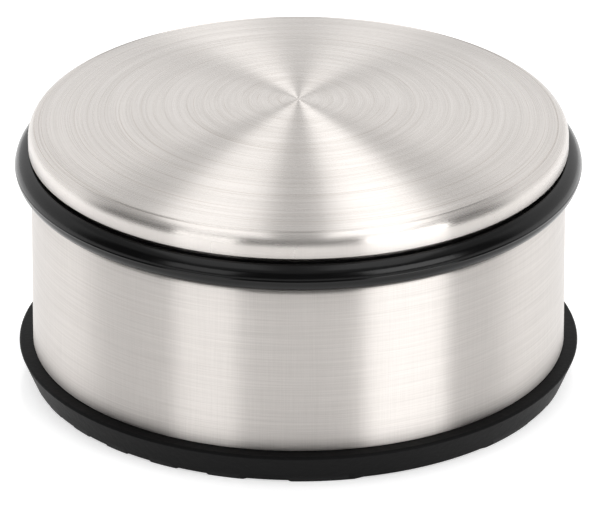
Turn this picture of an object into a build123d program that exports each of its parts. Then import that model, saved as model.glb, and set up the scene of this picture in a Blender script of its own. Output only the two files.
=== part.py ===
"""Round floor door stop: a weighted stainless housing with a rubber bumper ring and a rubber sole.

Frame: millimetres, +Z up, origin at the centre of the tread, which stands on the floor at z = 0.
The front is -Y.  Every piece is turned about the Z axis, apart from the tread, the hexagon nut
and the split washer.
"""
import os
from math import cos, radians, sin, sqrt

from build123d import *

# Overall sizes
TOTAL_HEIGHT = 56.8             # floor to the top of the dome
HOUSING_RADIUS = 52.0           # outside of the straight wall

# Sheet metal
HOUSING_SHEET = 1.0
LID_SHEET = 1.0
PLATE_SHEET = 1.5
BEND_RADIUS = 1.2               # outside radius of the housing's two convex bends
NECK_FILLET = 1.5               # between the shoulder and the neck

# Lid
DOME_RISE = 4.9                 # top of the dome above the edge of the brushed face
RIM_RADIUS = 2.7                # outside radius of the rim's bend
RIM_OVERHANG = 0.5              # rim beyond the housing's wall
FACE_INSET = 1.84               # rim's outermost line to the edge of the brushed face
SKIRT_LENGTH = 2.1              # straight skirt below the rim's bend
DECK_CLEARANCE = 1.2            # air between the lid and the deck's outer edge

# Bumper ring
RING_SECTION_RADIUS = 3.0
RING_PROUD = 3.15               # ring beyond the housing's wall
RING_TO_SKIRT = 0.66            # air between the ring and the skirt's cut edge
RING_SEAT_GAP = 0.05            # air between the ring and the shoulder

# Rubber sole
PAD_HEIGHT = 6.4
PAD_FLANGE = 2.7                # top of the sole beyond the housing's wall
PAD_TAPER = 2.4                 # how far the side wall leans in on its way down
PAD_EDGE_RADIUS = 0.5
TREAD_DEPTH = 0.45
TREAD_PITCH = 10.0
TREAD_RIB = 4.7                 # width of one rib
TREAD_ANGLE = 28.0              # ribs' direction, counter-clockwise from +X

# Weight, liners and adhesive
BALLAST_GAP = 0.4               # between the ballast and the housing's wall
LINER_THICKNESS = 1.5
DAMPER_RADIUS = 40.0
DAMPER_GAP = 0.1                # between the damper and the lid
ADHESIVE_THICKNESS = 0.3
PLATE_GAP = 0.1                 # between the base plate's edge and the housing

# M8 fastening
STUD_RADIUS = 4.0
COLLAR_RADIUS = 7.0             # shoulder that holds the lid off the deck
STUD_HOLE_GAP = 0.5             # radial room round the stud
STUD_PROJECTION = 1.0           # stud beyond the nut
STUD_TIP_ROOM = 0.4             # stud's tip above the adhesive
STUD_CHAMFER = 0.6
THREAD_GAP = 0.05               # radial room of nut and washers on the plain shank
WASHER_RADIUS = 8.0
WASHER_THICKNESS = 1.6
SPRING_WASHER_RADIUS = 7.2
SPRING_WASHER_THICKNESS = 2.0
SPRING_WASHER_SPLIT = 1.2
NUT_ACROSS_FLATS = 13.0
NUT_HEIGHT = 6.5
NUT_CHAMFER_ANGLE = 30.0
SOCKET_ROOM = 4.0               # round the nut, for a socket wrench
WELL_BEND = 1.0                 # inside bend radius of the well

# Radii that follow
neck_radius = HOUSING_RADIUS + RING_PROUD - 2 * RING_SECTION_RADIUS
ring_centre_radius = neck_radius + RING_SECTION_RADIUS
rim_outer_radius = HOUSING_RADIUS + RIM_OVERHANG
rim_centre_radius = rim_outer_radius - RIM_RADIUS
face_radius = rim_outer_radius - FACE_INSET
housing_bore = HOUSING_RADIUS - HOUSING_SHEET
stud_hole_radius = STUD_RADIUS + STUD_HOLE_GAP
nut_corner_radius = NUT_ACROSS_FLATS / sqrt(3)
well_radius = nut_corner_radius + SOCKET_ROOM

# Heights that follow, from the lid down
dome_sphere_radius = (face_radius**2 + DOME_RISE**2) / (2 * DOME_RISE)
dome_centre_z = TOTAL_HEIGHT - dome_sphere_radius
face_z = TOTAL_HEIGHT - DOME_RISE
rim_centre_z = face_z - sqrt(RIM_RADIUS**2 - (face_radius - rim_centre_radius)**2)
skirt_z = rim_centre_z - SKIRT_LENGTH
ring_z = skirt_z - RING_TO_SKIRT - RING_SECTION_RADIUS
shoulder_z = ring_z - RING_SECTION_RADIUS - RING_SEAT_GAP


def dome_underside(radius, gap=0.0):
    """Height of the lid's underside at a radius, less a gap square to the sheet."""
    sphere = dome_sphere_radius - LID_SHEET - gap
    return dome_centre_z + sqrt(sphere**2 - radius**2)


deck_z = dome_underside(neck_radius) - DECK_CLEARANCE
ballast_top_z = deck_z - HOUSING_SHEET - LINER_THICKNESS

# Heights that follow, from the floor up
plate_z = PAD_HEIGHT + ADHESIVE_THICKNESS
well_depth = (WASHER_THICKNESS + SPRING_WASHER_THICKNESS + NUT_HEIGHT
              + STUD_PROJECTION + STUD_TIP_ROOM)
well_roof_z = plate_z + well_depth
washer_z = well_roof_z - WASHER_THICKNESS
spring_washer_z = washer_z - SPRING_WASHER_THICKNESS
nut_z = spring_washer_z - NUT_HEIGHT
stud_tip_z = nut_z - STUD_PROJECTION


def turned(section):
    """Turn a section, drawn as radius and height, about the Z axis."""
    return revolve(Plane.XZ * section, axis=Axis.Z)


def turned_outline(*points):
    """Turn a closed outline of straight lines about the Z axis."""
    return turned(make_face(Polyline(*points, close=True)))


def turned_sheet(path, thickness, side):
    """Turn a sheet of even thickness that lies on one side of a path about the Z axis."""
    return turned(make_face(offset(path, amount=thickness, side=side).edges()))


def arc_between(start, end, centre, radius):
    """Arc from start to end that bulges away from its centre."""
    middle_x = (start[0] + end[0]) / 2 - centre[0]
    middle_z = (start[1] + end[1]) / 2 - centre[1]
    reach = radius / sqrt(middle_x**2 + middle_z**2)
    crown = (centre[0] + middle_x * reach, centre[1] + middle_z * reach)
    return ThreePointArc(start, crown, end)


def make_lid():
    """Domed cover, bent down at the rim into a straight skirt."""
    apex = (0, TOTAL_HEIGHT)
    crease = (face_radius, face_z)
    skirt_top = (rim_outer_radius, rim_centre_z)
    rim_centre = (rim_centre_radius, rim_centre_z)
    outside = Curve() + [
        arc_between(apex, crease, (0, dome_centre_z), dome_sphere_radius),
        arc_between(crease, skirt_top, rim_centre, RIM_RADIUS),
        Line(skirt_top, (rim_outer_radius, skirt_z)),
    ]
    return turned_sheet(outside, LID_SHEET, Side.RIGHT)


def make_lid_stud():
    """Weld stud with a shoulder that stands on the deck and meets the dome's underside."""
    outline = Curve() + [
        arc_between((0, dome_underside(0)), (COLLAR_RADIUS, dome_underside(COLLAR_RADIUS)),
                    (0, dome_centre_z), dome_sphere_radius - LID_SHEET),
        Polyline((COLLAR_RADIUS, dome_underside(COLLAR_RADIUS)),
                 (COLLAR_RADIUS, deck_z),
                 (STUD_RADIUS, deck_z),
                 (STUD_RADIUS, stud_tip_z + STUD_CHAMFER),
                 (STUD_RADIUS - STUD_CHAMFER, stud_tip_z),
                 (0, stud_tip_z),
                 (0, dome_underside(0))),
    ]
    return turned(make_face(outline.edges()))


def make_lid_damper():
    """Foam annulus between the deck and the dome."""
    inner_radius = COLLAR_RADIUS + STUD_HOLE_GAP
    outer_top = (DAMPER_RADIUS, dome_underside(DAMPER_RADIUS, DAMPER_GAP))
    inner_top = (inner_radius, dome_underside(inner_radius, DAMPER_GAP))
    outline = Curve() + [
        arc_between(inner_top, outer_top, (0, dome_centre_z),
                    dome_sphere_radius - LID_SHEET - DAMPER_GAP),
        Polyline(outer_top, (DAMPER_RADIUS, deck_z), (inner_radius, deck_z), inner_top),
    ]
    return turned(make_face(outline.edges()))


def make_body_shell():
    """Drawn housing: straight wall, shoulder, neck for the ring, and a deck with the stud's hole."""
    outside = FilletPolyline(
        (HOUSING_RADIUS, PAD_HEIGHT),
        (HOUSING_RADIUS, shoulder_z),
        (neck_radius, shoulder_z),
        (neck_radius, deck_z),
        (stud_hole_radius, deck_z),
        radius=(BEND_RADIUS, NECK_FILLET, BEND_RADIUS),
    )
    return turned_sheet(outside, HOUSING_SHEET, Side.LEFT)


def make_bumper_ring():
    """Rubber ring in the groove between the lid's skirt and the housing's shoulder."""
    return Pos(0, 0, ring_z) * Torus(ring_centre_radius, RING_SECTION_RADIUS)


def make_deck_liner():
    """Foam disc between the ballast and the deck."""
    outer_radius = neck_radius - HOUSING_SHEET - BALLAST_GAP
    return turned_outline(
        (stud_hole_radius, ballast_top_z),
        (outer_radius, ballast_top_z),
        (outer_radius, ballast_top_z + LINER_THICKNESS - BEND_RADIUS),
        (outer_radius - BEND_RADIUS, ballast_top_z + LINER_THICKNESS),
        (stud_hole_radius, ballast_top_z + LINER_THICKNESS),
    )


def make_ballast_block():
    """Cast concrete weight, stepped to follow the neck and hollowed over the plate's well."""
    lower_radius = housing_bore - BALLAST_GAP
    upper_radius = neck_radius - HOUSING_SHEET - BALLAST_GAP
    step_z = shoulder_z - HOUSING_SHEET - BALLAST_GAP
    step_height = NECK_FILLET + BEND_RADIUS
    hollow_radius = well_radius + PLATE_SHEET + BALLAST_GAP
    hollow_z = well_roof_z + PLATE_SHEET
    floor_z = plate_z + PLATE_SHEET
    return turned_outline(
        (hollow_radius + WELL_BEND, floor_z),
        (lower_radius, floor_z),
        (lower_radius, step_z - BEND_RADIUS),
        (lower_radius - BEND_RADIUS, step_z),
        (upper_radius, step_z),
        (upper_radius, step_z + step_height),
        (upper_radius, ballast_top_z),
        (stud_hole_radius, ballast_top_z),
        (stud_hole_radius, hollow_z),
        (hollow_radius, hollow_z),
        (hollow_radius, floor_z + WELL_BEND),
    )


def make_base_plate():
    """Pressed closing plate with a well that hides the nut above the sole."""
    underside = FilletPolyline(
        (housing_bore - PLATE_GAP, plate_z),
        (well_radius, plate_z),
        (well_radius, well_roof_z),
        (stud_hole_radius, well_roof_z),
        radius=(WELL_BEND + PLATE_SHEET, WELL_BEND),
    )
    return turned_sheet(underside, PLATE_SHEET, Side.RIGHT)


def make_stud_washer():
    """Flat washer under the well's roof."""
    bore = STUD_RADIUS + 4 * THREAD_GAP
    return turned_outline(
        (bore, washer_z),
        (WASHER_RADIUS, washer_z),
        (WASHER_RADIUS, well_roof_z),
        (bore, well_roof_z),
    )


def make_spring_washer():
    """Split lock washer, drawn pressed flat as it is under the tightened nut."""
    bore = STUD_RADIUS + THREAD_GAP
    closed_ring = turned_outline(
        (bore, spring_washer_z),
        (SPRING_WASHER_RADIUS, spring_washer_z),
        (SPRING_WASHER_RADIUS, washer_z),
        (bore, washer_z),
    )
    middle = Location(((bore + SPRING_WASHER_RADIUS) / 2, 0, (spring_washer_z + washer_z) / 2))
    split = Box(2 * SPRING_WASHER_RADIUS - 2 * bore, SPRING_WASHER_SPLIT,
                2 * SPRING_WASHER_THICKNESS)
    return closed_ring - middle * split


def make_stud_nut():
    """Hexagon nut, chamfered at both faces."""
    hexagon = extrude(RegularPolygon(nut_corner_radius, 6), NUT_HEIGHT)
    blank = Pos(0, 0, nut_z) * hexagon
    chamfer = (nut_corner_radius - NUT_ACROSS_FLATS / 2) * sin(radians(NUT_CHAMFER_ANGLE))
    flat_radius = NUT_ACROSS_FLATS / 2
    envelope = turned_outline(
        (STUD_RADIUS + THREAD_GAP, nut_z),
        (flat_radius, nut_z),
        (nut_corner_radius, nut_z + chamfer),
        (nut_corner_radius, spring_washer_z - chamfer),
        (flat_radius, spring_washer_z),
        (STUD_RADIUS + THREAD_GAP, spring_washer_z),
    )
    return blank & envelope


def make_pad_adhesive():
    """Double-sided adhesive disc between the sole and the base plate."""
    inner_radius = well_radius + WELL_BEND + PLATE_SHEET
    outer_radius = housing_bore - PLATE_GAP
    return turned_outline(
        (inner_radius, PAD_HEIGHT),
        (outer_radius, PAD_HEIGHT),
        (outer_radius, plate_z),
        (inner_radius, plate_z),
    )


def make_base_pad():
    """Rubber sole with a side wall that leans in and a ribbed tread."""
    top_radius = HOUSING_RADIUS + PAD_FLANGE
    bottom_radius = top_radius - PAD_TAPER
    outline = FilletPolyline(
        (0, 0),
        (bottom_radius, 0),
        (top_radius, PAD_HEIGHT - PAD_EDGE_RADIUS),
        (top_radius, PAD_HEIGHT),
        (0, PAD_HEIGHT),
        radius=(0, 0, PAD_EDGE_RADIUS * 0.9),
    )
    blank = turned(make_face(outline.edges() + [Line((0, PAD_HEIGHT), (0, 0)).edge()]))
    groove_width = TREAD_PITCH - TREAD_RIB
    groove = Box(2 * top_radius, groove_width, 2 * TREAD_DEPTH)
    reach = int(top_radius / TREAD_PITCH) + 1
    across = (-sin(radians(TREAD_ANGLE)), cos(radians(TREAD_ANGLE)))
    grooves = []
    for index in range(-reach, reach):
        offset_from_centre = index * TREAD_PITCH + TREAD_RIB + groove_width / 2
        place = Location((across[0] * offset_from_centre, across[1] * offset_from_centre, 0),
                         (0, 0, TREAD_ANGLE))
        grooves.append(place * groove)
    return blank - grooves


PIECES = {
    "lid": make_lid,
    "lid_stud": make_lid_stud,
    "lid_damper": make_lid_damper,
    "body_shell": make_body_shell,
    "bumper_ring": make_bumper_ring,
    "deck_liner": make_deck_liner,
    "ballast_block": make_ballast_block,
    "base_plate": make_base_plate,
    "stud_washer": make_stud_washer,
    "spring_washer": make_spring_washer,
    "stud_nut": make_stud_nut,
    "pad_adhesive": make_pad_adhesive,
    "base_pad": make_base_pad,
}

os.makedirs("parts", exist_ok=True)
for name, make in PIECES.items():
    export_step(make(), f"parts/{name}.step")
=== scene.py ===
"""Round weighted floor door stop: brushed steel housing, rubber bumper ring and rubber sole.

The four pieces that show are modelled here, round the CAD frame, in metres.  The pieces sealed
inside the housing are the frame's own, dressed with finishes of their own.
"""

import logging
from dataclasses import dataclass, field
from enum import Enum
from math import atan2, cos, degrees, radians, sin, sqrt, tau
from typing import Any, Iterable, Sequence, Union

import bpy
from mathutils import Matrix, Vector


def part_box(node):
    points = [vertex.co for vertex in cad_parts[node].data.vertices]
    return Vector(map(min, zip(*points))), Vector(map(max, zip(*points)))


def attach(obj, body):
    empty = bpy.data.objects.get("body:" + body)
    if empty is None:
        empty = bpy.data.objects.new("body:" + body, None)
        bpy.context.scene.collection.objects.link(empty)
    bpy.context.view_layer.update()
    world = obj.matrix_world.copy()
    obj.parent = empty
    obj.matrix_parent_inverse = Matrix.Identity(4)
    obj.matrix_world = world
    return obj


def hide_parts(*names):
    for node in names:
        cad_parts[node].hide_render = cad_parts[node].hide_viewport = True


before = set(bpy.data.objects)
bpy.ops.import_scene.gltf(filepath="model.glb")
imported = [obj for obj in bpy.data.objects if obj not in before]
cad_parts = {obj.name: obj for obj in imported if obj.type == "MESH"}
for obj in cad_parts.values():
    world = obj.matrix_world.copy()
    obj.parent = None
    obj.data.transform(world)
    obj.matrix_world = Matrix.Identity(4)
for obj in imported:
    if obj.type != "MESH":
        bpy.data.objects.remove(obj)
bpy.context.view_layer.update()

LOG = logging.getLogger("door_stop")
ROOT = "root"
MM = 0.001
SAME_POINT = 0.0005 * MM         # corners closer than this are one
ON_AXIS = 1e-9                   # a radius below this lies on the axis
NOISE_AVERAGE = 0.5
NOISE_SPREAD = (0.3, 0.7)        # most of a noise lies between these
GRAIN_ROTATION = 0.25            # of a turn: highlights stretch across the brushed lines

Outline = list[tuple[float, float]]
Colour = tuple[float, float, float]
Value = Union["Signal", float]


# ---------------------------------------------------------------------------
# Shader graph
# ---------------------------------------------------------------------------


@dataclass(frozen=True)
class Pattern:
    """How a noise is made."""

    scale: float                 # cells in a unit of the vector
    octaves: float
    weight: float                # of each finer octave


class Signal:
    """A number on its way through a material, combined with ordinary arithmetic."""

    def __init__(self, graph: "Graph", socket: bpy.types.NodeSocket) -> None:
        """Wrap a node's output socket.

        Args:
            graph: The graph that the socket belongs to.
            socket: The output that carries the number.
        """
        self.graph = graph
        self.socket = socket

    def _math(self, operation: str, *operands: Value) -> "Signal":
        """Add a Math node that combines the operands in order."""
        inputs = dict(enumerate(operands))
        node = self.graph.node("ShaderNodeMath", {"operation": operation}, inputs)
        return Signal(self.graph, node.outputs[0])

    def __add__(self, other: Value) -> "Signal":
        """Sum."""
        return self._math("ADD", self, other)

    __radd__ = __add__

    def __sub__(self, other: Value) -> "Signal":
        """Difference."""
        return self._math("SUBTRACT", self, other)

    def __rsub__(self, other: Value) -> "Signal":
        """Difference, the other way round."""
        return self._math("SUBTRACT", other, self)

    def __mul__(self, other: Value) -> "Signal":
        """Product."""
        return self._math("MULTIPLY", self, other)

    __rmul__ = __mul__

    def __truediv__(self, other: Value) -> "Signal":
        """Quotient."""
        return self._math("DIVIDE", self, other)

    def __pow__(self, other: Value) -> "Signal":
        """Power."""
        return self._math("POWER", self, other)

    def between(self, low: float, high: float) -> "Signal":
        """Rise smoothly from 0 at the low value to 1 at the high one."""
        node = self.graph.node(
            "ShaderNodeMapRange",
            {"interpolation_type": "SMOOTHSTEP"},
            {"Value": self, "From Min": low, "From Max": high},
        )
        return Signal(self.graph, node.outputs["Result"])

    def past(self, limit: float, softness: float) -> "Signal":
        """Rise smoothly from 0 to 1 round a limit."""
        return self.between(limit - softness, limit + softness)

    def swing(self, reach: float) -> "Signal":
        """How far a noise strays from its average, times a reach."""
        return (self - NOISE_AVERAGE) * reach


class Graph:
    """The node tree of a material or a world, with a single method that makes its nodes."""

    def __init__(self, tree: bpy.types.NodeTree) -> None:
        """Empty the tree and keep it.

        Args:
            tree: The material's or world's node tree.
        """
        self.tree = tree
        tree.nodes.clear()

    def node(
        self,
        kind: str,
        settings: dict[str, Any] | None = None,
        inputs: dict[str | int, Any] | None = None,
    ) -> bpy.types.Node:
        """Add a node.

        Args:
            kind: The node's type.
            settings: Properties, set first.
            inputs: Values or links of its sockets, by name or index.

        Returns:
            The new node.
        """
        node = self.tree.nodes.new(kind)
        for name, value in (settings or {}).items():
            setattr(node, name, value)
        for name, value in (inputs or {}).items():
            if isinstance(value, Signal):
                self.tree.links.new(value.socket, node.inputs[name])
            elif isinstance(value, bpy.types.NodeSocket):
                self.tree.links.new(value, node.inputs[name])
            else:
                node.inputs[name].default_value = value
        return node

    def position(self) -> bpy.types.NodeSocket:
        """The point on the piece, in metres, in the frame."""
        return self.node("ShaderNodeTexCoord").outputs["Object"]

    def split(self, vector: bpy.types.NodeSocket) -> tuple[Signal, Signal, Signal]:
        """The three components of a vector."""
        outputs = self.node("ShaderNodeSeparateXYZ", inputs={0: vector}).outputs
        return tuple(Signal(self, output) for output in outputs)

    def join(self, x: Value, y: Value, z: Value) -> bpy.types.NodeSocket:
        """A vector from three numbers."""
        return self.node("ShaderNodeCombineXYZ", inputs={0: x, 1: y, 2: z}).outputs[0]

    def round_axis(self) -> tuple[Signal, Signal, Signal, Signal]:
        """Radius, height, and the cosine and sine of the angle round the Z axis."""
        x, y, z = self.split(self.position())
        radius = (x * x + y * y) ** 0.5
        return radius, z, x / radius, y / radius

    def noise(self, vector: bpy.types.NodeSocket, pattern: Pattern) -> Signal:
        """Fractal noise from 0 to 1, a half on average.

        Args:
            vector: Where the noise is read.
            pattern: How it is made.

        Returns:
            The noise as a number.
        """
        inputs = {
            "Vector": vector,
            "Scale": pattern.scale,
            "Detail": pattern.octaves,
            "Roughness": pattern.weight,
        }
        return Signal(self, self.node("ShaderNodeTexNoise", inputs=inputs).outputs["Fac"])

    def cells(self, vector: bpy.types.NodeSocket, scale: float) -> bpy.types.Node:
        """Cells of uneven shape.

        Args:
            vector: Where the cells are read.
            scale: Cells in a unit of the vector.

        Returns:
            The node, with its Distance and Color outputs.
        """
        return self.node("ShaderNodeTexVoronoi", inputs={"Vector": vector, "Scale": scale})

    def mix(self, share: Value, low: Sequence[float], high: Sequence[float]) -> Any:
        """A colour between two others.

        Args:
            share: 0 for the low colour, 1 for the high one.
            low: Colour or socket at 0.
            high: Colour or socket at 1.

        Returns:
            The colour's socket.
        """
        node = self.node("ShaderNodeMix", {"data_type": "RGBA"}, {0: share})
        for socket, colour in ((node.inputs[6], low), (node.inputs[7], high)):
            if isinstance(colour, bpy.types.NodeSocket):
                self.tree.links.new(colour, socket)
            else:
                socket.default_value = (*colour, 1.0)
        return node.outputs[2]

    def bump(self, height: Signal, depth: float) -> Any:
        """A normal that follows a height.

        Args:
            height: The relief, from 0 to 1.
            depth: What a height of 1 stands for, in metres.

        Returns:
            The normal's socket.
        """
        inputs = {"Height": height, "Distance": depth, "Strength": 1.0}
        return self.node("ShaderNodeBump", inputs=inputs).outputs["Normal"]

    def surface(self, **inputs: Any) -> None:
        """End the graph in a Principled shader.

        Args:
            inputs: The shader's sockets, with underscores for spaces.
        """
        named = {name.replace("_", " "): value for name, value in inputs.items()}
        shader = self.node("ShaderNodeBsdfPrincipled", {"distribution": "GGX"}, named)
        self.node("ShaderNodeOutputMaterial", inputs={"Surface": shader.outputs[0]})


def new_graph(name: str) -> tuple[bpy.types.Material, Graph]:
    """Make an empty material.

    Args:
        name: The material's name.

    Returns:
        The material and its graph.
    """
    material = bpy.data.materials.new(name)
    material.use_nodes = True
    return material, Graph(material.node_tree)


# ---------------------------------------------------------------------------
# Finishes
# ---------------------------------------------------------------------------


class Grain(Enum):
    """Which way the brush left its lines; every line runs round the Z axis."""

    ON_FACE = "rings of growing radius"
    ON_WALL = "hoops one above another"


@dataclass(frozen=True)
class BrushedSteel:
    """Stainless steel brushed in circles round the Z axis."""

    name: str
    grain: Grain
    light: Colour = (0.80, 0.760, 0.728)
    dark: Colour = (0.63, 0.595, 0.565)
    scratched: Colour = (0.51, 0.455, 0.405)
    roughness: float = 0.28
    line_roughness: float = 0.10         # how much lines and stains change the roughness
    stain_roughness: float = 0.06
    anisotropy: float = 1.0
    line_depth: float = 0.004 * MM
    fine_lines: float = 3.4              # lines in a millimetre
    coarse_lines: float = 0.9
    fine_share: float = 0.6              # weight of the fine lines beside the coarse ones
    arc_share: float = 0.8               # how soon a line fades on its way round
    fine_fade: float = 2.0               # how much sooner a fine line does
    cross_share: float = 0.10            # how strongly hairlines cross the brushing
    hairlines: float = 170.0             # how closely they follow each other round the axis
    hairline_fade: float = 0.10          # how soon a hairline ends, in a millimetre
    scratch_share: float = 0.7           # how dark the stray scratches are
    scratch_fineness: float = 1.6        # beside the fine lines
    scratch_fade: float = 0.7
    scratch_limits: tuple[float, float] = (0.56, 0.70)
    stain_share: float = 0.15
    hoop: Pattern = Pattern(1.0, 2.0, 0.6)
    coarse_hoop: Pattern = Pattern(1.0, 2.0, 0.5)
    scratch: Pattern = Pattern(1.0, 3.0, 0.7)
    stain: Pattern = Pattern(28.0, 3.0, 0.55)

    def build(self) -> bpy.types.Material:
        """Make the material."""
        material, graph = new_graph(self.name)
        radius, z, cosine, sine = graph.round_axis()
        across = (radius if self.grain is Grain.ON_FACE else z) / MM
        cosine = cosine * self.arc_share
        sine = sine * self.arc_share

        def hoops(pattern: Pattern, lines: float, fade: float) -> Signal:
            """Lines that run round the axis."""
            place = graph.join(across * lines, cosine * fade, sine * fade)
            return graph.noise(place, pattern)

        fine = hoops(self.hoop, self.fine_lines, self.fine_fade)
        coarse = hoops(self.coarse_hoop, self.coarse_lines, 1.0)
        scratch = hoops(self.scratch, self.fine_lines * self.scratch_fineness, self.scratch_fade)
        stain = graph.noise(graph.position(), self.stain)
        hairline = graph.noise(
            graph.join(cosine * self.hairlines, sine * self.hairlines, across * self.hairline_fade),
            self.hoop,
        )
        lines = fine * self.fine_share + coarse * (1.0 - self.fine_share)
        line_share = 1.0 - self.stain_share - self.cross_share
        shade = lines.between(*NOISE_SPREAD) * line_share + stain * self.stain_share
        shade = shade + hairline.between(*NOISE_SPREAD) * self.cross_share
        tone = graph.mix(shade, self.dark, self.light)
        marks = scratch.between(*self.scratch_limits) * self.scratch_share
        unevenness = fine.swing(self.line_roughness) + stain.swing(self.stain_roughness)
        graph.surface(
            Base_Color=graph.mix(marks, tone, self.scratched),
            Metallic=1.0,
            Roughness=self.roughness + unevenness,
            Anisotropic=self.anisotropy,
            Anisotropic_Rotation=GRAIN_ROTATION,
            Normal=graph.bump(lines, self.line_depth),
        )
        return material


@dataclass(frozen=True)
class RimSteel:
    """The bent rim and its skirt: drawn metal, only lightly brushed; its darker colours are painted
    shade.
    """

    name: str = "rim_steel_painted_shade"
    # painted shade: the face's steel colours darkened by about a quarter, for the skirt's dimmer
    # reflection
    light: Colour = (0.60, 0.572, 0.548)
    dark: Colour = (0.45, 0.424, 0.402)
    roughness: float = 0.19
    nick_roughness: float = 0.1
    cloud_roughness: float = 0.08
    anisotropy: float = 0.5
    scratch_depth: float = 0.003 * MM
    hoop_lines: float = 4.0              # lines in a millimetre
    hoop_fade: float = 6.0               # how soon a line fades on its way round
    nick_spacing: float = 90.0           # how closely nicks follow each other round the axis
    nick_fade: float = 0.8               # how soon a nick ends, in a millimetre
    shares: tuple[float, float, float] = (0.4, 0.3, 0.3)    # of hoops, nicks and clouds
    line: Pattern = Pattern(1.0, 2.0, 0.6)
    cloud: Pattern = Pattern(45.0, 3.0, 0.5)

    def build(self) -> bpy.types.Material:
        """Make the material."""
        material, graph = new_graph(self.name)
        radius, z, cosine, sine = graph.round_axis()
        hoops = graph.noise(
            graph.join(
                (z + radius) / MM * self.hoop_lines, cosine * self.hoop_fade, sine * self.hoop_fade
            ),
            self.line,
        )
        nicks = graph.noise(
            graph.join(
                cosine * self.nick_spacing, sine * self.nick_spacing, z / MM * self.nick_fade
            ),
            self.line,
        )
        cloud = graph.noise(graph.position(), self.cloud)
        hoop_share, nick_share, cloud_share = self.shares
        shade = hoops * hoop_share + nicks * nick_share + cloud * cloud_share
        unevenness = nicks.swing(self.nick_roughness) + cloud.swing(self.cloud_roughness)
        graph.surface(
            Base_Color=graph.mix(shade.between(*NOISE_SPREAD), self.dark, self.light),
            Metallic=1.0,
            Roughness=self.roughness + unevenness,
            Anisotropic=self.anisotropy,
            Anisotropic_Rotation=GRAIN_ROTATION,
            Normal=graph.bump((hoops + nicks) * 0.5, self.scratch_depth),
        )
        return material


@dataclass(frozen=True)
class Rubber:
    """Black moulded rubber, from glossy to matt."""

    name: str
    colour: Colour
    bloom: Colour                        # where dust and wax have dulled it
    roughness: float
    specular: float
    texture_depth: float
    texture_scale: float                 # pits in a metre
    cloud_roughness: float = 0.16
    pit_roughness: float = 0.08
    bloom_share: float = 0.5
    bloom_limits: tuple[float, float] = (0.35, 0.75)
    speck_share: float = 0.25
    speck_size: float = 2.5              # beside a pit
    speck_limits: tuple[float, float] = (0.68, 0.76)
    cloud: Pattern = Pattern(60.0, 4.0, 0.6)

    def build(self) -> bpy.types.Material:
        """Make the material."""
        material, graph = new_graph(self.name)
        place = graph.position()
        pits = graph.noise(place, Pattern(self.texture_scale, 3.0, 0.6))
        cloud = graph.noise(place, self.cloud)
        speckle = graph.noise(place, Pattern(self.texture_scale / self.speck_size, 1.0, 0.5))
        dulled = cloud.between(*self.bloom_limits) * self.bloom_share
        dulled = dulled + speckle.between(*self.speck_limits) * self.speck_share
        unevenness = cloud.swing(self.cloud_roughness) + pits.swing(self.pit_roughness)
        graph.surface(
            Base_Color=graph.mix(dulled, self.colour, self.bloom),
            Roughness=self.roughness + unevenness,
            Specular_IOR_Level=self.specular,
            Normal=graph.bump(pits, self.texture_depth),
        )
        return material


@dataclass(frozen=True)
class PlatedSteel:
    """Zinc-plated, galvanised or phosphated steel of the hidden hardware."""

    name: str
    light: Colour
    dark: Colour
    roughness: float
    spangle: float = 900.0               # crystals in a metre
    relief: float = 0.02 * MM
    cloud: Pattern = Pattern(160.0, 4.0, 0.6)
    scratch: Pattern = Pattern(2500.0, 2.0, 0.7)

    def build(self) -> bpy.types.Material:
        """Make the material."""
        material, graph = new_graph(self.name)
        place = graph.position()
        crystal = graph.split(graph.cells(place, self.spangle).outputs["Color"])[0]
        cloud = graph.noise(place, self.cloud)
        scratches = graph.noise(place, self.scratch)
        shade = crystal * 0.5 + cloud * 0.35 + scratches * 0.15
        graph.surface(
            Base_Color=graph.mix(shade, self.dark, self.light),
            Metallic=1.0,
            Roughness=self.roughness + crystal.swing(0.12) + cloud.swing(0.14),
            Normal=graph.bump(cloud * 0.7 + scratches * 0.3, self.relief),
        )
        return material


@dataclass(frozen=True)
class CastConcrete:
    """Fine concrete with sand, pinholes and lighter laitance."""

    name: str = "concrete"
    light: Colour = (0.56, 0.55, 0.52)
    dark: Colour = (0.30, 0.29, 0.27)
    pit: Colour = (0.12, 0.115, 0.11)
    roughness: float = 0.88
    relief: float = 0.25 * MM
    pinhole_scale: float = 320.0         # cells in a metre, each with a pinhole in it
    pinhole_limits: tuple[float, float] = (0.05, 0.22)
    tone_limits: tuple[float, float] = (0.25, 0.75)
    cloud: Pattern = Pattern(70.0, 5.0, 0.6)
    sand: Pattern = Pattern(1400.0, 3.0, 0.7)

    def build(self) -> bpy.types.Material:
        """Make the material."""
        material, graph = new_graph(self.name)
        place = graph.position()
        cloud = graph.noise(place, self.cloud)
        sand = graph.noise(place, self.sand)
        distance = Signal(graph, graph.cells(place, self.pinhole_scale).outputs["Distance"])
        pinholes = 1.0 - distance.between(*self.pinhole_limits)
        shade = (cloud * 0.6 + sand * 0.4).between(*self.tone_limits)
        tone = graph.mix(shade, self.dark, self.light)
        graph.surface(
            Base_Color=graph.mix(pinholes * 0.7, tone, self.pit),
            Roughness=self.roughness + sand.swing(0.15),
            Normal=graph.bump(sand * 0.4 + cloud * 0.4 - pinholes * 0.8, self.relief),
        )
        return material


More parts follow.
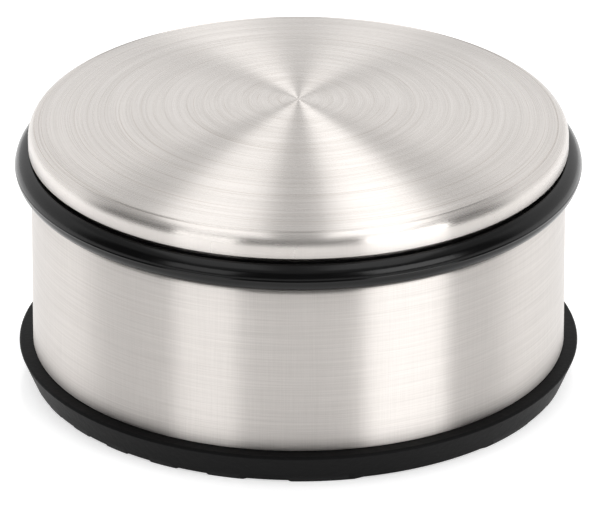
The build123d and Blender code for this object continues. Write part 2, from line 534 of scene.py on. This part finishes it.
@dataclass(frozen=True)
class FoamSheet:
    """Closed-cell foam: small round cells, dull and slightly uneven."""

    name: str = "foam"
    light: Colour = (0.115, 0.115, 0.12)
    dark: Colour = (0.05, 0.05, 0.052)
    roughness: float = 0.82
    relief: float = 0.12 * MM
    cell_scale: float = 1600.0           # cells in a metre
    cloud: Pattern = Pattern(90.0, 3.0, 0.5)

    def build(self) -> bpy.types.Material:
        """Make the material."""
        material, graph = new_graph(self.name)
        place = graph.position()
        dome = Signal(graph, graph.cells(place, self.cell_scale).outputs["Distance"])
        cloud = graph.noise(place, self.cloud)
        graph.surface(
            Base_Color=graph.mix(dome * 0.8 + cloud * 0.3, self.dark, self.light),
            Roughness=self.roughness + cloud.swing(0.2),
            Normal=graph.bump(1.0 - dome, self.relief),
        )
        return material


@dataclass(frozen=True)
class AdhesiveFilm:
    """Pale double-sided film with wetting marks."""

    name: str = "adhesive"
    light: Colour = (0.86, 0.85, 0.80)
    dark: Colour = (0.70, 0.68, 0.60)
    roughness: float = 0.45
    relief: float = 0.03 * MM
    wetting: Pattern = Pattern(220.0, 4.0, 0.6)
    fibre: Pattern = Pattern(3200.0, 2.0, 0.6)

    def build(self) -> bpy.types.Material:
        """Make the material."""
        material, graph = new_graph(self.name)
        place = graph.position()
        marks = graph.noise(place, self.wetting)
        fibre = graph.noise(place, self.fibre)
        graph.surface(
            Base_Color=graph.mix(marks * 0.7 + fibre * 0.3, self.dark, self.light),
            Roughness=self.roughness + marks.swing(0.3),
            Normal=graph.bump(marks * 0.6 + fibre * 0.4, self.relief),
        )
        return material


# ---------------------------------------------------------------------------
# Modelling helpers
# ---------------------------------------------------------------------------


def deselect_all() -> None:
    """Leave nothing selected, so that an operator acts on the new piece alone."""
    if bpy.context.object and bpy.context.object.mode != "OBJECT":
        bpy.ops.object.mode_set(mode="OBJECT")
    bpy.ops.object.select_all(action="DESELECT")


def arc(
    centre: tuple[float, float], radius: float, start: float, end: float, count: int
) -> Outline:
    """Points along an arc of a section.

    Args:
        centre: Radius and height of the arc's centre.
        radius: The arc's own radius.
        start: Angle of the first point, in degrees, 0 outwards and 90 up.
        end: Angle of the last point.
        count: Number of spans.

    Returns:
        The points, both ends included.
    """
    angles = [radians(start + (end - start) * step / count) for step in range(count + 1)]
    return [(centre[0] + radius * cos(a), centre[1] + radius * sin(a)) for a in angles]


def straight(start: tuple[float, float], end: tuple[float, float], count: int) -> Outline:
    """Evenly spaced points between two others, without the two."""
    return [
        (
            start[0] + (end[0] - start[0]) * step / count,
            start[1] + (end[1] - start[1]) * step / count,
        )
        for step in range(1, count)
    ]


def spun(name: str, outline: Outline, steps: int) -> bpy.types.Object:
    """Draw a closed section point by point and spin it round the Z axis.

    Args:
        name: The piece's name.
        outline: The section's corners as radius and height, in metres.  A section that
            touches the axis starts and ends on it and is closed by the axis itself.
        steps: Facets round the axis.

    Returns:
        The piece, at the origin, with its faces outwards.
    """
    deselect_all()
    first = outline[0]
    on_axis = abs(first[0]) < ON_AXIS
    bpy.ops.mesh.primitive_plane_add(size=MM, location=(first[0], 0.0, first[1]))
    piece = bpy.context.object
    piece.name = name
    piece.data.name = name
    bpy.ops.object.mode_set(mode="EDIT")
    bpy.ops.mesh.select_all(action="SELECT")
    bpy.ops.mesh.merge(type="CENTER")
    points = outline[1:] if on_axis else outline[1:] + [first]
    here = first
    for point in points:
        step = (point[0] - here[0], 0.0, point[1] - here[1])
        bpy.ops.mesh.extrude_region_move(TRANSFORM_OT_translate={"value": step})
        here = point
    bpy.ops.mesh.select_all(action="SELECT")
    bpy.ops.mesh.spin(steps=steps, angle=tau, center=(0.0, 0.0, 0.0), axis=(0.0, 0.0, 1.0))
    bpy.ops.mesh.select_all(action="SELECT")
    bpy.ops.mesh.remove_doubles(threshold=SAME_POINT)
    bpy.ops.mesh.select_all(action="SELECT")
    bpy.ops.mesh.normals_make_consistent(inside=False)
    bpy.ops.object.mode_set(mode="OBJECT")
    bpy.ops.object.transform_apply(location=True, rotation=True, scale=True)
    return piece


def smooth(piece: bpy.types.Object, angle: float) -> None:
    """Shade a piece smooth but keep the edges sharper than an angle in degrees."""
    deselect_all()
    piece.select_set(True)
    bpy.context.view_layer.objects.active = piece
    bpy.ops.object.shade_smooth_by_angle(angle=radians(angle))


def apply_boolean(piece: bpy.types.Object, cutter: bpy.types.Object) -> None:
    """Cut one piece with another, which is then deleted."""
    deselect_all()
    piece.select_set(True)
    bpy.context.view_layer.objects.active = piece
    cut = piece.modifiers.new("cut", "BOOLEAN")
    cut.operation = "DIFFERENCE"
    cut.solver = "EXACT"
    cut.object = cutter
    bpy.ops.object.modifier_apply(modifier=cut.name)
    bpy.data.objects.remove(cutter, do_unlink=True)


def install(
    piece: bpy.types.Object, node: str, finishes: Iterable[bpy.types.Material]
) -> None:
    """Put a finished piece in the assembly.

    Args:
        piece: The finished piece.
        node: The CAD node that it stands for.
        finishes: Its materials, in the order of its face indices.
    """
    piece.data.materials.clear()
    for finish in finishes:
        piece.data.materials.append(finish)
    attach(piece, ROOT)
    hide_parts(node)
    LOG.info("%s: %d faces", piece.name, len(piece.data.polygons))


def corner(node: str) -> tuple[float, float, float]:
    """Outer radius, foot and top of a CAD node that is round about the Z axis."""
    low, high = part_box(node)
    return high[0], low[2], high[2]


# ---------------------------------------------------------------------------
# Sub-assemblies
# ---------------------------------------------------------------------------


@dataclass
class Lid:
    """Domed cover: brushed face, turned line, and a rim bent down into a straight skirt."""

    sheet: float = 1.0 * MM
    dome_rise: float = 4.9 * MM
    rim_radius: float = 2.7 * MM         # outside of the bend
    face_inset: float = 1.84 * MM        # skirt's outside to the edge of the brushed face
    cut_edge: float = 0.12 * MM          # rounding of the skirt's cut edge
    line_width: float = 0.45 * MM        # line turned where the face meets the rim
    line_depth: float = 0.16 * MM
    sharp_angle: float = 24.0            # an edge sharper than this stays crisp
    steps: int = 288
    face_spans: int = 26
    rim_spans: int = 30
    edge_spans: int = 3

    def build(self) -> bpy.types.Object:
        """Model the lid.

        Returns:
            The lid, its rim in the second material slot.
        """
        outer, skirt, top = corner("lid")
        rim_centre = (outer - self.rim_radius, self._rim_height(top))
        face_radius = outer - self.face_inset
        sphere = (face_radius**2 + self.dome_rise**2) / (2 * self.dome_rise)
        dome_centre = (0.0, top - sphere)
        line_inner = face_radius - self.line_width
        edge_angle = self._angle_on(line_inner, sphere)
        line_bottom = face_radius - self.line_width / 2
        line_bottom_z = self._height_on(line_bottom, sphere, top) - self.line_depth
        crease_angle = degrees(
            atan2(
                sqrt(self.rim_radius**2 - (face_radius - rim_centre[0]) ** 2),
                face_radius - rim_centre[0],
            )
        )
        inside = sphere - self.sheet
        inner_rim = self.rim_radius - self.sheet
        inner_stop = rim_centre[0] + inner_rim * cos(radians(crease_angle))
        inner_face = self._angle_on(inner_stop, inside)
        outline = arc(dome_centre, sphere, 90.0, edge_angle, self.face_spans)
        outline += [(line_bottom, line_bottom_z)]
        outline += arc(rim_centre, self.rim_radius, crease_angle, 0.0, self.rim_spans)
        edge_centre = (outer - self.cut_edge, skirt + self.cut_edge)
        outline += arc(edge_centre, self.cut_edge, 0.0, -90.0, self.edge_spans)
        outline += [(outer - self.sheet, skirt)]
        outline += arc(rim_centre, inner_rim, 0.0, crease_angle, self.rim_spans // 2)
        outline += arc(dome_centre, inside, inner_face, 90.0, self.face_spans)
        piece = spun("door_stop_lid", outline, self.steps)
        rim_start = line_bottom + self.line_width / 4
        for face in piece.data.polygons:
            face.material_index = int(face.center.xy.length > rim_start)
        smooth(piece, self.sharp_angle)
        return piece

    def _rim_height(self, top: float) -> float:
        """Height of the rim's centre, from the lid's own sizes."""
        reach = self.rim_radius - self.face_inset
        return top - self.dome_rise - sqrt(self.rim_radius**2 - reach**2)

    @staticmethod
    def _angle_on(radius: float, sphere: float) -> float:
        """Angle, in degrees, at which a sphere centred on the axis has a radius."""
        return degrees(atan2(sqrt(sphere**2 - radius**2), radius))

    @staticmethod
    def _height_on(radius: float, sphere: float, top: float) -> float:
        """Height of the dome at a radius."""
        return top - sphere + sqrt(sphere**2 - radius**2)

    def install(self) -> None:
        """Model and dress the lid."""
        face = BrushedSteel("lid_steel", Grain.ON_FACE).build()
        rim = RimSteel().build()
        install(self.build(), "lid", (face, rim))


@dataclass
class Housing:
    """Drawn housing: straight wall, shoulder and neck for the ring, and the deck."""

    sheet: float = 1.0 * MM
    bend: float = 1.2 * MM
    neck_fillet: float = 1.5 * MM
    stud_hole: float = 4.5 * MM
    foot_radius: float = 0.25 * MM
    seat_gap: float = 0.05 * MM          # air between the ring and the shoulder
    sharp_angle: float = 30.0            # an edge sharper than this stays crisp
    wall_spans: int = 8
    bend_spans: int = 7
    foot_spans: int = 3
    steps: int = 288

    def build(self) -> bpy.types.Object:
        """Model the housing."""
        outer, foot, deck = corner("body_shell")
        ring_outer, ring_low, ring_high = corner("bumper_ring")
        neck = ring_outer - (ring_high - ring_low)
        shoulder = ring_low - self.seat_gap
        inner = outer - self.sheet
        inner_bend = self.bend - self.sheet
        inner_fillet = self.neck_fillet + self.sheet
        bend_low = (outer - self.bend, shoulder - self.bend)
        bend_high = (neck - self.bend, deck - self.bend)
        fillet = (neck + self.neck_fillet, shoulder + self.neck_fillet)
        foot_centre = (outer - self.foot_radius, foot + self.foot_radius)
        outline = arc(foot_centre, self.foot_radius, -90, 0, self.foot_spans)
        outline += straight(outline[-1], (outer, bend_low[1]), self.wall_spans)
        outline += arc(bend_low, self.bend, 0, 90, self.bend_spans)
        outline += arc(fillet, self.neck_fillet, 270, 180, self.bend_spans)
        outline += arc(bend_high, self.bend, 0, 90, self.bend_spans)
        outline += [(self.stud_hole, deck), (self.stud_hole, deck - self.sheet)]
        outline += arc(bend_high, inner_bend, 90, 0, self.bend_spans)
        outline += arc(fillet, inner_fillet, 180, 270, self.bend_spans)
        outline += arc(bend_low, inner_bend, 90, 0, self.bend_spans)
        outline += [(inner, foot)]
        piece = spun("door_stop_housing", outline, self.steps)
        smooth(piece, self.sharp_angle)
        return piece

    def install(self) -> None:
        """Model and dress the housing."""
        wall = BrushedSteel(
            "shell_steel",
            Grain.ON_WALL,
            roughness=0.38,
            fine_lines=5.5,
            coarse_lines=2.4,
            arc_share=1.6,
            cross_share=0.24,
            scratch_share=0.3,
        ).build()
        install(self.build(), "body_shell", (wall,))


@dataclass
class BumperRing:
    """Moulded rubber ring with the fine parting line that its mould leaves."""

    parting_height: float = 0.05 * MM
    parting_width: float = 0.25 * MM
    crest_share: float = 0.4             # flat top of the line, beside its width
    sharp_angle: float = 60.0            # an edge sharper than this stays crisp
    section_spans: int = 56
    steps: int = 288

    def build(self) -> bpy.types.Object:
        """Model the ring."""
        outer, low, high = corner("bumper_ring")
        section = (high - low) / 2
        centre = (outer - section, (low + high) / 2)
        half_width = degrees(self.parting_width / 2 / section)
        body = section - self.parting_height
        outline = arc(centre, body, half_width, 360 - half_width, self.section_spans)
        half_crest = self.crest_share * self.parting_width / 2
        outline += [(outer, centre[1] - half_crest), (outer, centre[1] + half_crest)]
        piece = spun("door_stop_bumper_ring", outline, self.steps)
        smooth(piece, self.sharp_angle)
        return piece

    def install(self) -> None:
        """Model and dress the ring."""
        gloss = Rubber(
            "ring_rubber",
            colour=(0.0012, 0.0012, 0.0013),
            bloom=(0.003, 0.003, 0.0033),
            roughness=0.17,
            specular=0.25,
            texture_depth=0.01 * MM,
            texture_scale=1500.0,
        ).build()
        install(self.build(), "bumper_ring", (gloss,))


@dataclass
class Sole:
    """Rubber sole: flat flange, side wall that leans in, ribbed tread."""

    taper: float = 2.4 * MM
    edge_radius: float = 0.5 * MM
    foot_radius: float = 0.25 * MM
    tread_depth: float = 0.45 * MM
    tread_pitch: float = 10.0 * MM
    tread_rib: float = 4.7 * MM
    tread_angle: float = 28.0            # ribs' direction, in degrees from +X
    bar_length: float = 2.4              # of a groove's cutter, in radii of the sole
    sharp_angle: float = 30.0            # an edge sharper than this stays crisp
    rings: tuple[float, ...] = (12.0 * MM, 26.0 * MM, 40.0 * MM)
    wall_spans: int = 4
    edge_spans: int = 5
    steps: int = 240

    def build(self) -> bpy.types.Object:
        """Model the sole."""
        outer, foot, top = corner("base_pad")
        bottom = outer - self.taper
        edge = (outer - self.edge_radius, top - self.edge_radius)
        outline = [(0.0, foot)]
        outline += [(radius, foot) for radius in self.rings]
        outline += [(bottom - self.foot_radius, foot), (bottom, foot + self.foot_radius)]
        outline += straight(outline[-1], (outer, edge[1]), self.wall_spans)
        outline += arc(edge, self.edge_radius, 0, 90, self.edge_spans)
        outline += [(radius, top) for radius in reversed(self.rings)]
        outline += [(0.0, top)]
        piece = spun("door_stop_sole", outline, self.steps)
        apply_boolean(piece, self._groove_cutter(outer))
        smooth(piece, self.sharp_angle)
        return piece

    def _groove_cutter(self, reach: float) -> bpy.types.Object:
        """Bars in the shape of the tread's grooves, all in one object."""
        groove = self.tread_pitch - self.tread_rib
        count = int(reach / self.tread_pitch) + 1
        turn = radians(self.tread_angle)
        bars = []
        deselect_all()
        for index in range(-count, count):
            middle = index * self.tread_pitch + self.tread_rib + groove / 2
            place = (-sin(turn) * middle, cos(turn) * middle, 0.0)
            bpy.ops.mesh.primitive_cube_add(size=1.0, location=place, rotation=(0, 0, turn))
            bar = bpy.context.object
            bar.scale = (self.bar_length * reach, groove, 2 * self.tread_depth)
            bars.append(bar)
        deselect_all()
        for bar in bars:
            bar.select_set(True)
        bpy.context.view_layer.objects.active = bars[0]
        bpy.ops.object.join()
        cutter = bpy.context.object
        bpy.ops.object.transform_apply(location=True, rotation=True, scale=True)
        return cutter

    def install(self) -> None:
        """Model and dress the sole."""
        matt = Rubber(
            "pad_rubber",
            colour=(0.003, 0.003, 0.0032),
            bloom=(0.005, 0.005, 0.005),
            roughness=0.5,
            specular=0.08,
            texture_depth=0.06 * MM,
            texture_scale=900.0,
        ).build()
        install(self.build(), "base_pad", (matt,))


@dataclass
class Innards:
    """The frame's own pieces inside the housing, which only need finishes."""

    finishes: dict[str, tuple[str, ...]] = field(
        default_factory=lambda: {
            "zinc": ("lid_stud", "stud_washer", "stud_nut"),
            "phosphate": ("spring_washer",),
            "galvanised": ("base_plate",),
            "concrete": ("ballast_block",),
            "foam": ("lid_damper", "deck_liner"),
            "film": ("pad_adhesive",),
        }
    )

    @staticmethod
    def _materials() -> dict[str, bpy.types.Material]:
        """One material for each finish."""
        return {
            "zinc": PlatedSteel("stud_zinc", (0.78, 0.80, 0.83), (0.55, 0.56, 0.58), 0.3).build(),
            "phosphate": PlatedSteel(
                "spring_steel", (0.17, 0.17, 0.18), (0.07, 0.07, 0.075), 0.5
            ).build(),
            "galvanised": PlatedSteel(
                "plate_zinc", (0.72, 0.74, 0.76), (0.50, 0.52, 0.54), 0.42, 260.0
            ).build(),
            "concrete": CastConcrete().build(),
            "foam": FoamSheet().build(),
            "film": AdhesiveFilm().build(),
        }

    def dress(self) -> None:
        """Give each hidden piece its finish."""
        materials = self._materials()
        for finish, nodes in self.finishes.items():
            for node in nodes:
                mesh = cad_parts[node].data
                mesh.materials.clear()
                mesh.materials.append(materials[finish])
                LOG.info("%s: %s", node, finish)


# ---------------------------------------------------------------------------
# Studio
# ---------------------------------------------------------------------------


@dataclass(frozen=True)
class Softbox:
    """A rectangular studio light that faces the stop."""

    name: str
    place: tuple[float, float, float]
    width: float
    length: float
    power: float
    aim_height: float = 30.0 * MM        # where on the Z axis it points

    def build(self) -> None:
        """Add the light."""
        data = bpy.data.lights.new(self.name, "AREA")
        data.shape = "RECTANGLE"
        data.size = self.width
        data.size_y = self.length
        data.energy = self.power
        light = bpy.data.objects.new(self.name, data)
        light.location = self.place
        aim = Vector((0.0, 0.0, self.aim_height)) - light.location
        light.rotation_euler = aim.to_track_quat("-Z", "Y").to_euler()
        bpy.context.scene.collection.objects.link(light)


@dataclass
class Studio:
    """Light table, soft lights, surroundings and the camera.

    The surroundings are directions on a unit sphere: y points away from the camera and z up.
    """

    camera_place: tuple[float, float, float] = (0.0003, -1.616, 0.787)
    camera_pitch: float = 25.29          # degrees below the horizon
    lens: float = 548.9
    sensor: float = 36.0
    sight: float = 20.0                  # how far the camera sees
    table_size: float = 8.0
    table_light: Colour = (0.86, 0.86, 0.86)
    table_dark: Colour = (0.84, 0.84, 0.84)
    table_cloud: Pattern = Pattern(3.0, 2.0, 0.5)
    table_roughness: float = 0.12
    table_specular: float = 0.3
    table_glow: float = 0.56             # the light table's own light
    backdrop: float = 1.0                # brightness of the white backdrop
    room: float = 0.12                   # brightness of the dim room behind the camera
    room_from: tuple[float, float] = (-0.30, 0.10)      # where the backdrop gives way to it
    ceiling: float = 0.55
    ceiling_from: tuple[float, float] = (0.62, 0.72)    # height where the walls end
    panel_left: float = 1.60             # brightness of the two ceiling panels
    panel_right: float = 1.90
    vanishing: float = 2.05              # the panels' edges run to this y, one above the stop
    panel_inner: float = 0.05            # slope of the panels' edges, and how soft they are
    inner_softness: float = 0.008
    panel_outer: float = 0.205
    outer_softness: float = 0.02
    panel_flare: float = 0.065           # how much wider the panels get towards the front
    flare_from: tuple[float, float] = (0.2, 0.7)        # all of it before, none after
    panel_front: float = -0.50           # the panels' near end, one above the stop
    front_softness: float = 0.05
    panel_back: tuple[float, float] = (0.52, 0.60)      # height where the panels begin
    middle_softness: float = 0.01        # between the left panel and the right one
    lights: tuple[Softbox, ...] = (
        Softbox("front_left", (-0.80, -1.00, 0.50), 0.64, 0.7, 2.75),
        Softbox("front_right", (0.93, -0.91, 0.50), 0.88, 0.7, 6.8),
    )

    def build(self) -> None:
        """Set up the table, the lights, the surroundings and the camera."""
        self._table()
        for softbox in self.lights:
            softbox.build()
        self._surroundings()
        self._camera()
        settings = bpy.context.scene.view_settings
        settings.view_transform = "Standard"
        settings.look = "None"

    def _table(self) -> None:
        """A white light table with a faint sheen."""
        deselect_all()
        bpy.ops.mesh.primitive_plane_add(size=self.table_size, location=(0.0, 0.0, 0.0))
        floor = bpy.context.object
        floor.name = "floor"
        material, graph = new_graph("floor")
        tone = graph.noise(graph.position(), self.table_cloud)
        graph.surface(
            Base_Color=graph.mix(tone, self.table_dark, self.table_light),
            Roughness=self.table_roughness,
            Specular_IOR_Level=self.table_specular,
            Emission_Color=(1.0, 1.0, 1.0, 1.0),
            Emission_Strength=self.table_glow,
        )
        floor.data.materials.append(material)

    def _surroundings(self) -> None:
        """White backdrop behind, a dim room in front, and two panels on the ceiling."""
        world = bpy.data.worlds.new("studio")
        bpy.context.scene.world = world
        world.use_nodes = True
        graph = Graph(world.node_tree)
        x, y, z = graph.split(graph.node("ShaderNodeTexCoord").outputs["Generated"])
        in_front = (0.0 - y).between(*self.room_from)
        walls = self.backdrop + in_front * (self.room - self.backdrop)
        level = walls + z.between(*self.ceiling_from) * (self.ceiling - walls)
        right = x.past(0.0, self.middle_softness)
        power = self.panel_left + right * (self.panel_right - self.panel_left)
        level = level + self._panels(x, y, z) * (power - level)
        background = graph.node(
            "ShaderNodeBackground", inputs={"Color": (1.0, 1.0, 1.0, 1.0), "Strength": level}
        )
        graph.node("ShaderNodeOutputWorld", inputs={"Surface": background.outputs[0]})

    def _panels(self, x: Signal, y: Signal, z: Signal) -> Signal:
        """1 inside the two ceiling panels and 0 outside them.

        Args:
            x: The direction's component to the right.
            y: The direction's component away from the camera.
            z: The direction's component upwards.

        Returns:
            The panels' share, with soft edges.
        """
        spread = ((x * x) ** 0.5) / (z * self.vanishing - y)
        near = 1.0 - (y / z).between(*self.flare_from)
        flared = spread - near * self.panel_flare
        panels = spread.past(self.panel_inner, self.inner_softness)
        panels = panels * (1.0 - flared.past(self.panel_outer, self.outer_softness))
        panels = panels * z.between(*self.panel_back)
        return panels * (y - z * self.panel_front).past(0.0, self.front_softness)

    def _camera(self) -> None:
        """A long lens looking down at the stop from the front."""
        data = bpy.data.cameras.new("camera")
        data.sensor_fit = "HORIZONTAL"
        data.sensor_width = self.sensor
        data.lens = self.lens
        data.clip_end = self.sight
        camera = bpy.data.objects.new("camera", data)
        camera.location = self.camera_place
        camera.rotation_euler = (radians(90.0 - self.camera_pitch), 0.0, 0.0)
        bpy.context.scene.collection.objects.link(camera)
        bpy.context.scene.camera = camera


def main() -> None:
    """Build the stop and the studio round it."""
    logging.basicConfig(level=logging.INFO, format="%(name)s %(message)s")
    Studio().build()
    Lid().install()
    Housing().install()
    BumperRing().install()
    Sole().install()
    Innards().dress()


if __name__ == "__main__":
    main()
